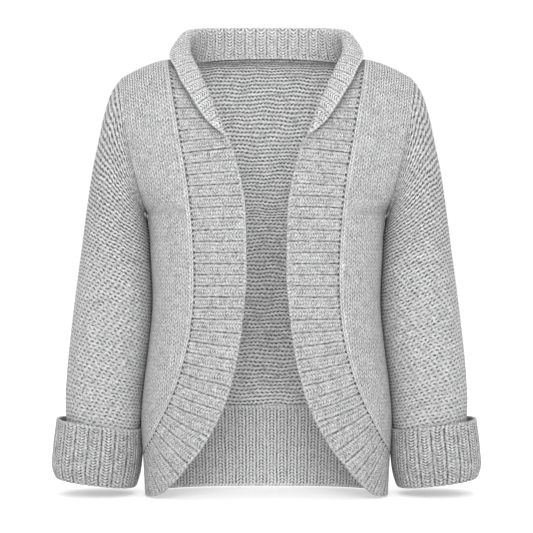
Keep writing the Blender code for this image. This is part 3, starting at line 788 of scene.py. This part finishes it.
def along_seam(distance):
    """The point of the seam at this distance from its lower end."""
    return np.stack([np.interp(distance, seam_lengths, axis) for axis in seam.T], axis=-1)


def seam_distance(z):
    """The distance along the seam at which it has this height, below the roll."""
    return np.interp(z, seam[below_roll, 2], seam_lengths[below_roll])


print("seam:", seam_lengths[-1], "from a front's end to the middle of the neck")

# %% [markdown]
# Below the fold the strip lies on the torso as a flat band. Its ribs are shallower at the seam and
# right at the free edge.

# %% The front band
STRIP_ROWS = 21
STRIP_EDGE_ROWS = 1.2
BAND_LINES = 41


def band_rows(distance, across):
    """Each rib line goes straight, in angle and height on the torso, from its seam point to the
    free edge, whose angle and height follow a smooth curve through the table."""
    band = columns_of(BAND_COLUMNS, BAND)
    edge_angle = torso_angle(band["edge_x"], band["edge_z"], -1)
    edge = np.stack([edge_angle, band["edge_z"]], axis=1)[::-1]
    end = smooth(distance, seam_distance(band["seam_z"][::-1]), edge)
    points = along_seam(distance)
    start = np.stack([torso_angle(points[:, 0], points[:, 2], -1), points[:, 2]], axis=1)
    lines = start[:, None] + (end - start)[:, None] * across[None, :, None]
    return torso_point(lines[..., 0], lines[..., 1], -1)


def strip_drop(places, across):
    """The ribs' relief, shallower at the seam and at the free edge."""
    rim = np.minimum(across, (1 - across) * 2) * STRIP_ROWS / STRIP_EDGE_ROWS
    return rib_relief(places)[:, None, None] * np.clip(rim, LOW_EDGE, 1)[None, :, None]


places = rib_lines(BAND_RIBS)
across = np.linspace(0, 1, BAND_LINES)
band_surface = band_rows(seam_distance(FOLD_END_Z) * places / BAND_RIBS, across)
drop = strip_drop(places, across)
band_walls = wool_walls(band_surface, RIB_CLOTH, -drop, -0.5 * drop)
band_counts = counts(places, across * STRIP_ROWS)[..., ::-1]
report_size("band", band_surface)

# %% [markdown]
# The collar's part of the strip stands up from the neck and turns over outwards. Each rib line is
# walked in small steps: it heads from the seam to the fold line, turns about the fold line and
# curls down to its free edge. The fold line, how much lies beyond it and how far it turns come
# from a table, so the fold dies out on the front edge.

# %% How the collar folds
def fold_sizes(distance):
    """The collar's tables, read along the seam: the front one up to the shoulder, the back one
    from there."""
    parts, knots = [], []
    low = seam_distance(FOLD_END_Z)
    for table, high in ((COLLAR_FRONT, shoulder_length), (COLLAR_BACK, seam_lengths[-1])):
        sizes = np.stack(list(columns_of(COLLAR_COLUMNS, table).values()), axis=1)
        reach = lengths_along(sizes[:, :3])
        skip = 1 if parts else 0
        parts.append(sizes[skip:])
        knots.append((low + (high - low) * reach / reach[-1])[skip:])
        low = high
    return smooth(distance, np.concatenate(knots), np.concatenate(parts))


def collar_half(places, steps):
    """A line's heading swings from the seam's bow, by the fold's turn, to the curl. Points are
    the sum of steps along it. The part of the heading along the fold line stays as it is, so
    ribs cross the fold straight."""
    low = seam_distance(FOLD_END_Z)
    distance = low + (seam_lengths[-1] - low) * places
    points = along_seam(distance)
    x, y, z, flip, bow, turn, curl = fold_sizes(distance).T[..., None]
    fold = np.concatenate([x, y, z], axis=1)
    flip = flip.clip(0)
    tangent = np.gradient(fold, distance, axis=0)
    tangent[-1] = (-1.0, 0, 0)
    tangent = unit(tangent)
    reach = np.linalg.norm(fold - points, axis=1, keepdims=True)
    heading = (fold - points) / reach
    slide = np.einsum("ij,ij->i", heading, tangent)[:, None]
    square = heading - slide * tangent
    pace = np.linalg.norm(square, axis=1, keepdims=True)
    square = square / pace
    outward = np.cross(tangent, square)
    turning = np.pi * FOLD_RADIUS / pace
    stand = reach - np.clip(2 * flip / turning, 0, 1) * (FOLD_RADIUS + RIB_CLOTH) / pace
    width = stand + flip
    walked = width * (np.arange(steps) + 0.5) / steps
    lean = 4 * bow / stand
    angle = lean * (1 - 2 * np.clip(walked / stand, 0, 1))
    angle = angle + np.clip((walked - stand) / turning, 0, 1) * (turn + lean)
    fall = np.maximum(flip - turning, 0)
    angle = angle + np.clip((walked - stand - turning) / np.maximum(fall, MM), 0, 1) * curl
    step = slide[:, None] * tangent[:, None]
    step = step + pace[:, None] * np.cos(angle)[..., None] * square[:, None]
    step = step + pace[:, None] * np.sin(angle)[..., None] * outward[:, None]
    walk = np.cumsum(step * (width / steps)[..., None], axis=1)
    return points[:, None] + np.concatenate([walk[:, :1] * 0, walk], axis=1)


print("fold line over the middle of the neck:", fold_sizes(seam_lengths[-1:])[0, :3].round(4))

# %% [markdown]
# Half the collar is walked in 240 steps, of which every fourth is kept, and the other half is its
# mirror image. Its first two ribs ease in from the band's last line, so the stretches meet.

# %% Collar
COLLAR_STEPS = 240
COLLAR_LINES = 61
BLEND_RIBS = 2
places = rib_lines(COLLAR_RIBS // 2)
every = COLLAR_STEPS // (COLLAR_LINES - 1)
half = collar_half(places / (COLLAR_RIBS // 2), COLLAR_STEPS)[:, ::every]
across = np.linspace(0, 1, COLLAR_LINES)
first = band_rows(seam_distance(np.array([FOLD_END_Z])), across)
blend = np.clip(1 - places / BLEND_RIBS, 0, 1)[:, None, None]
half = half + (first - half[:1]) * blend
collar_surface = np.concatenate([half, mirrored(half[-2::-1])])
places = np.append(places, COLLAR_RIBS - places[-2::-1])
collar_normals = surface_normals(collar_surface)
collar_normals *= np.sign(collar_normals[len(places) // 2, 0, 1])
drop = strip_drop(places, across)
collar_outside = collar_surface - collar_normals * drop
collar_inside = collar_surface - collar_normals * (RIB_CLOTH - drop)
collar_counts = counts(places, across * STRIP_ROWS)[..., ::-1]
report_size("collar", collar_surface)

# %% [markdown]
# One function makes every wool. It draws the stitches from the UV map, lets them wander a little
# as hand knitting does, adds fibres and the heather speckle in Object coordinates, and paints shade
# into the holes and light onto the tops. The height drives both this painted light and shade and the
# bump, so they fall on the same stitch. Dull wool has a wide, weak sheen from its fuzz.

# %% Wool
# Dark: dark fibres and the painted shade in holes. Light: light fibres and the painted light on tops.
SHADE_AND_DARK_WOOL = (0.05, 0.05, 0.051, 1.0)
LIT_AND_LIGHT_WOOL = (0.64, 0.64, 0.645, 1.0)
# Each noise has a scale in lumps a metre, a detail and a roughness.
WANDER_NOISE = (55, 1, 0.5)
FIBRE_NOISE = (380, 4, 0.7)
PATCH_NOISE = (90, 3, 0.6)
UNEVEN_NOISE = (130, 2, 0.5)


def fill(node, values):
    """Set a node's inputs by name or number."""
    for place, value in values.items():
        node.inputs[place].default_value = value


def noise(tree, place, scale, detail, rough):
    """A noise node at these coordinates."""
    node = tree.nodes.new("ShaderNodeTexNoise")
    fill(node, {"Scale": scale, "Detail": detail, "Roughness": rough})
    tree.links.new(place, node.inputs["Vector"])
    return node


def spread(tree, place, sizes):
    """A noise as an amount around 0, from about -1/2 to 1/2."""
    return Amount(tree, noise(tree, place, *sizes).outputs["Fac"]) - 0.5


def wool(name, pattern, wander, depth, contrast, brightness, speckle):
    """Colour = a mix of dark and light wool by brightness + contrast * (height - 1/2) +
    speckle * fibres + 0.3 * patches, where the contrast differs from stitch to stitch, because
    some holes are wider than others. The contrast term is painted shade in the holes and painted
    light on the tops; the fibres and patches are the wool's own speckle."""
    material = bpy.data.materials.new(name)
    material.use_nodes = True
    tree = material.node_tree
    shader = tree.nodes["Principled BSDF"]
    place = tree.nodes.new("ShaderNodeTexCoord").outputs["Object"]
    height = pattern(tree, noise(tree, place, *WANDER_NOISE), wander)
    fibres = spread(tree, place, FIBRE_NOISE)
    patches = spread(tree, place, PATCH_NOISE)
    uneven = (spread(tree, place, UNEVEN_NOISE) * 2.4) + 1.0
    # The height term paints shade into the holes and light onto the tops.
    mixed = ((height - 0.5) * uneven * contrast) + (fibres * speckle) + (patches * 0.3)
    mix = tree.nodes.new("ShaderNodeMix")
    mix.data_type = "RGBA"
    fill(mix, {6: SHADE_AND_DARK_WOOL, 7: LIT_AND_LIGHT_WOOL})
    tree.links.new((mixed + brightness).clamped().socket, mix.inputs["Factor"])
    tree.links.new(mix.outputs[2], shader.inputs["Base Color"])
    relief = tree.nodes.new("ShaderNodeBump")
    fill(relief, {"Distance": depth * MM, "Strength": 0.9})
    tree.links.new((height + (fibres * 0.5)).socket, relief.inputs["Height"])
    tree.links.new(relief.outputs["Normal"], shader.inputs["Normal"])
    fill(shader, {"Roughness": 0.92, "Specular IOR Level": 0.15})
    fill(shader, {"Sheen Weight": 0.12, "Sheen Roughness": 0.6})
    return material


def stitch_counts(tree, uv_map, wander, amount):
    """u and v of a UV map, with a slow noise added to both."""
    uv = tree.nodes.new("ShaderNodeUVMap")
    uv.uv_map = uv_map
    split = tree.nodes.new("ShaderNodeSeparateXYZ")
    tree.links.new(uv.outputs["UV"], split.inputs[0])
    drift = tree.nodes.new("ShaderNodeSeparateColor")
    tree.links.new(wander.outputs["Color"], drift.inputs[0])
    u, v = (Amount(tree, split.outputs[axis]) for axis in range(2))
    aside, down = (Amount(tree, drift.outputs[axis]) - 0.5 for axis in range(2))
    return u + aside * amount, v + down * amount


print("fibres are about", round(1000 / FIBRE_NOISE[0], 1), "mm long")

# %% [markdown]
# Each piece has its own stitches. A plain piece has one pattern all over. The sleeve's ridges
# break up on the way down, the front has a chain beside its seam, and the strip has the holes
# where it was picked up and a chain along its free edge.

# %% The stitches of the plain pieces
def stitched(pattern):
    """A pattern of the piece's own stitch counts."""
    def draw(tree, slow, wander):
        return pattern(*stitch_counts(tree, "stitches", slow, wander))
    return draw


def sleeve_bumps(u, v):
    """Long ridges at the armhole that break up into separate, weaker bumps on the way down."""
    low = v.between(18.0, 42.0)
    return ((bumps(u, v, (low * 0.4) + 0.5) - 0.7) * ((low * -0.4) + 1.15)) + 0.5


def front_vees(tree, slow, wander):
    """Vs in upright columns, clearer near the shoulder, and beside the band's seam one chain of
    Vs that follows it."""
    side, down = stitch_counts(tree, "stitches", slow, wander)
    own = vees(side, down)
    shoulder = ((down * -0.045) + (side * -0.033) + 1.2).clamped()
    own = own + (own - 0.5) * (shoulder * 1.3)
    u, v = stitch_counts(tree, "chain", slow, wander * 0.3)
    return own.toward(vees(u + 0.02, v) * 1.3, u.between(1.05, 0.95))


print("plain pieces have their stitches")

# %% The stitches of the ribbed pieces
def with_chain(ribs, u, share):
    """Ribs that give way to a plain chain of three strands a rib where the share is 1."""
    return ribs.toward(chain_edge(u * 3.0), share)


def strip_edge(v):
    """1 on the strip's last row, the free edge."""
    return v.between(STRIP_ROWS - 0.9, STRIP_ROWS - 0.5)


def strip_ribs(u, v):
    """Ribs, a plain chain along the free edge, and a hole with painted shade at each half rib where
    the strip is picked up. Every other hole is smaller."""
    body = with_chain(rib(u, v), u, strip_edge(v))
    size = (u.wave(1.0, 0.25) * -0.3) + 0.6
    hole = (((u * 2.0).wave(1.0, 0.25) - size) * 4.0).clamped()
    return body - hole * v.between(1.0, 0.6) * v.between(-0.3, 0.1) * 0.9


def collar_back_ribs(u, v):
    """The same strip on its other face, with a chain along the neck seam as well."""
    chain = strip_edge(v).math("MAXIMUM", v.between(0.9, 0.6))
    return with_chain(rib(u, v, lines=0.2, groove=0.24, strokes=0.65), u, chain)


def hem_ribs(u, v):
    """Ribs with a chain along the top and along the free edge."""
    chain = v.between(1.0, 0.6).math("MAXIMUM", v.between(HEM_ROWS - 1.0, HEM_ROWS - 0.6))
    return with_chain(rib(u, v, lines=0.5, groove=0.12, strokes=0.65), u, chain)


def cuff_ribs(u, v):
    """Ribs with a chain along the turned-up edge."""
    chain = v.between(CUFF_ROWS - 1.1, CUFF_ROWS - 0.6)
    return with_chain(rib(u, v, lines=0.28, groove=0.25, strokes=0.55), u, chain)


print("ribbed pieces have their stitches")

# %% [markdown]
# The wools differ in how far the stitches wander, in the depth of the bump in millimetres, and in
# contrast, brightness and speckle. The hem's two faces differ most: its inner face, seen in shade
# through the open front, is painted lighter, and its outer face, in full light from behind, darker.

# %% The nine wools
WOOLS = {
    "front_wool": (front_vees, 0.5, 0.7, 0.5, 0.37, 1.1),
    "smooth_wool": (stitched(vees), 0.4, 0.9, 0.6, 0.42, 1.5),
    "purl_wool": (stitched(bumps), 0.3, 1.4, 0.85, 0.42, 1.5),
    "sleeve_wool": (stitched(sleeve_bumps), 0.3, 1.2, 0.56, 0.36, 1.5),
    "strip_wool": (stitched(strip_ribs), 0.12, 1.1, 0.66, 0.375, 1.5),
    "collar_wool": (stitched(collar_back_ribs), 0.12, 1.1, 0.85, 0.45, 1.5),
    # The hem's inner face is painted lighter than its outer face, to make up for the shade it lies in.
    "hem_wool": (stitched(hem_ribs), 0.12, 1.3, 1.05, 0.6, 1.5),
    "hem_back_wool": (stitched(hem_ribs), 0.12, 1.3, 0.9, 0.4, 1.5),
    "cuff_wool": (stitched(cuff_ribs), 0.15, 1.2, 0.75, 0.335, 1.5),
}
FRONT, SMOOTH, PURL, SLEEVES, STRIP, COLLAR, HEM, HEM_BACK, CUFFS = (
    wool(name, *sizes) for name, sizes in WOOLS.items()
)
print(len(WOOLS), "wools")

# %% [markdown]
# Now each piece is made and put in its node's place. The right-hand pieces are mirror images of the
# left.


def placed(node, cut, walls, stitches, materials, around=False):
    """The piece stands for its node and rides on the body. The cut is not used."""
    piece = knitted(f"{node}_knit", *walls, stitches, materials, around)
    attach(piece, "root")
    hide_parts(node)


def pair(name, walls, *rest):
    """The piece on the wearer's left, and its mirror image."""
    placed(f"{name}_left", name, walls, *rest)
    placed(f"{name}_right", name, [mirrored(wall) for wall in walls], *rest)


placed("back", "back", back_walls, {"stitches": back_counts}, [SMOOTH, PURL])
placed("back_hem", "back_hem", hem_walls, {"stitches": hem_counts}, [HEM_BACK, HEM])
collar_walls = (collar_outside, collar_inside)
placed("collar", "collar", collar_walls, {"stitches": collar_counts}, [STRIP, COLLAR])
pair("front", front_walls, {"stitches": front_counts, "chain": chain_counts}, [FRONT, PURL])
pair("band", band_walls, {"stitches": band_counts}, [STRIP])
pair("sleeve", sleeve_walls, {"stitches": sleeve_counts}, [SLEEVES, SMOOTH], True)
pair("cuff", (cuff_outside, cuff_inside), {"stitches": cuff_counts}, [CUFFS], True)

# %% [markdown]
# A plain pale floor lies just under the hem and catches a soft shadow. It glows a little, as a lit
# paper sweep does, so that it stays white round the shadow.

# %% Floor
FLOOR_Z = -0.6146
FLOOR_REACH = 9.0
FLOOR_GREY = (0.62, 0.62, 0.62, 1)
WHITE = (1, 1, 1, 1)
FLOOR_GLOW = 0.42
ends = (-FLOOR_REACH, FLOOR_REACH)
corners = [(x, y, FLOOR_Z) for y in ends for x in ends]
floor_mesh = bpy.data.meshes.new("floor")
floor_mesh.from_pydata(corners, [], [(0, 1, 3, 2)])
floor = bpy.data.objects.new("floor", floor_mesh)
bpy.context.scene.collection.objects.link(floor)
paper = bpy.data.materials.new("pale_floor")
paper.use_nodes = True
shader = paper.node_tree.nodes["Principled BSDF"]
fill(shader, {"Base Color": FLOOR_GREY, "Roughness": 1.0, "Specular IOR Level": 0.0})
fill(shader, {"Emission Color": WHITE, "Emission Strength": FLOOR_GLOW})
floor_mesh.materials.append(paper)
print("floor at", FLOOR_Z)

# %% [markdown]
# The light comes from all round, as in a white studio, and three wide soft lamps add to it: the
# strongest in front, a weak one above and one behind. So the fronts are lightest and the inside is
# in gentle shade.

# %% Light
world = bpy.data.worlds.new("studio")
world.use_nodes = True
fill(world.node_tree.nodes["Background"], {"Color": WHITE, "Strength": 1.0})
bpy.context.scene.world = world
bpy.context.scene.view_settings.view_transform = "Standard"


def soft_lamp(name, place, aim, width, power):
    """A square area lamp at a place, turned so that its -Z axis points at the aim."""
    lamp = bpy.data.lights.new(name, "AREA")
    lamp.size = width
    lamp.energy = power
    holder = bpy.data.objects.new(name, lamp)
    holder.location = place
    toward = np.array(aim, float) - np.array(place, float)
    level = np.hypot(toward[0], toward[1])
    turned = np.arctan2(-toward[0], toward[1])
    holder.rotation_euler = (np.arctan2(level, -toward[2]), 0, turned)
    bpy.context.scene.collection.objects.link(holder)


LAMP_WIDTH = 2.0
soft_lamp("front_lamp", (0, -3.5, 1.1), (0, 0, -0.3), LAMP_WIDTH, 130)
soft_lamp("top_lamp", (0, -0.2, 3.0), (0, 0, -0.4), LAMP_WIDTH, 20)
soft_lamp("back_lamp", (0, 3.5, 1.4), (0, 0, -0.3), LAMP_WIDTH, 75)
print(len(bpy.data.lights), "lamps")
